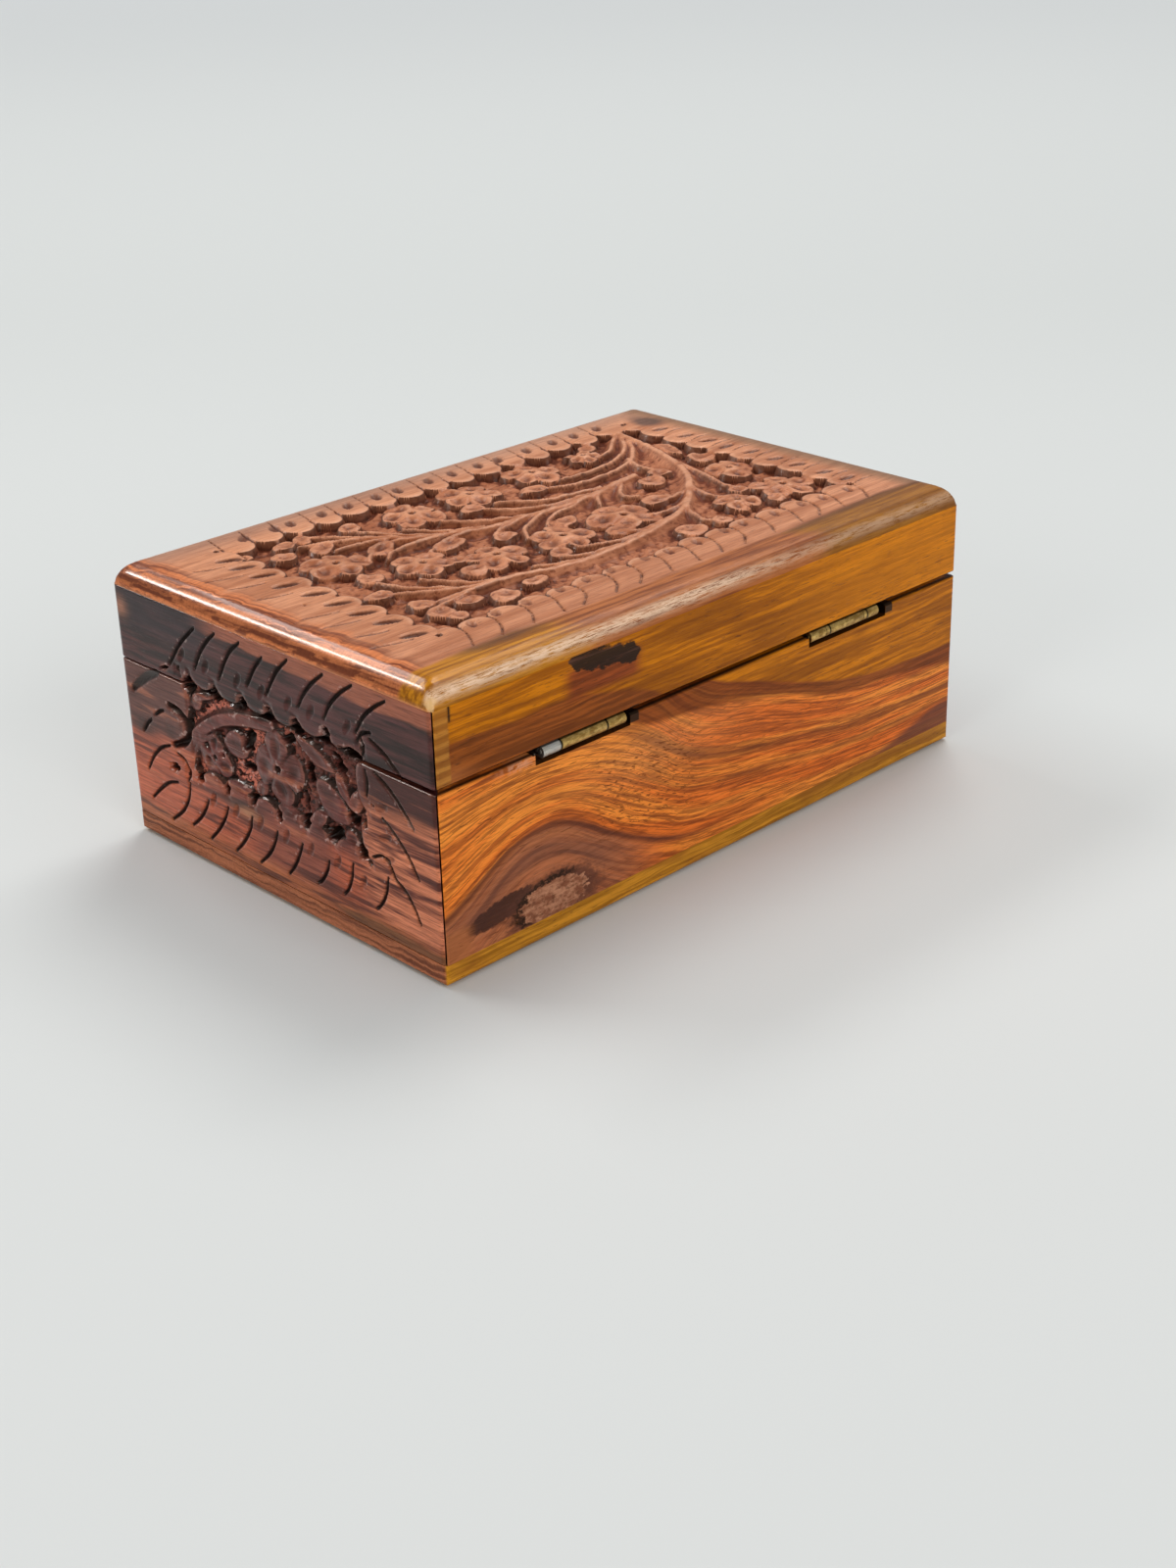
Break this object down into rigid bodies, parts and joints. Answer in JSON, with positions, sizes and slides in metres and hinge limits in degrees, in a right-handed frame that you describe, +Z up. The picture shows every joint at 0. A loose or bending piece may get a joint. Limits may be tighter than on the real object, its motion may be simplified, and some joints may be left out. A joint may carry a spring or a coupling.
{
  "type": "trinket box",
  "caption": "Small carved hardwood box with a hinged lid: mitred walls and rails between a full bottom board and a full top board, on brass butt hinges.",
  "frame": {"origin": "centre of the bottom board's underside", "axes": "+Z up, +X along the box to its right end as seen by someone opening it, +Y towards the hinged rear face"},
  "size_m": [0.16, 0.1044, 0.0635],
  "materials": {
    "wood_rose": "satin varnish, carved",
    "wood_dark": "satin varnish, carved",
    "wood_red_brown": "satin varnish",
    "wood_golden": "satin varnish",
    "brass": "dulled, pale"
  },
  "bodies": {
    "base": {"bottom_panel": "wood_golden", "base_front_wall": "wood_red_brown", "base_rear_wall": "wood_red_brown", "base_left_wall": "wood_dark", "base_right_wall": "wood_dark", "left_hinge_base_leaf": "brass", "left_hinge_pin": "brass", "left_hinge_base_nail_inner": "brass", "left_hinge_base_nail_outer": "brass", "right_hinge_base_leaf": "brass", "right_hinge_pin": "brass", "right_hinge_base_nail_inner": "brass", "right_hinge_base_nail_outer": "brass"},
    "lid": {"lid_top_panel": "wood_rose", "lid_front_rail": "wood_golden", "lid_rear_rail": "wood_golden", "lid_left_rail": "wood_dark", "lid_right_rail": "wood_dark", "left_hinge_lid_leaf": "brass", "left_hinge_lid_nail_inner": "brass", "left_hinge_lid_nail_outer": "brass", "right_hinge_lid_leaf": "brass", "right_hinge_lid_nail_inner": "brass", "right_hinge_lid_nail_outer": "brass"}
  },
  "joints": [
    {"name": "lid_hinge", "type": "hinge", "parent": "base", "child": "lid", "pos_m": [0, 0.0511, 0.04125], "axis": [-1, 0, 0], "range_deg": [0, 105]}
  ]
}
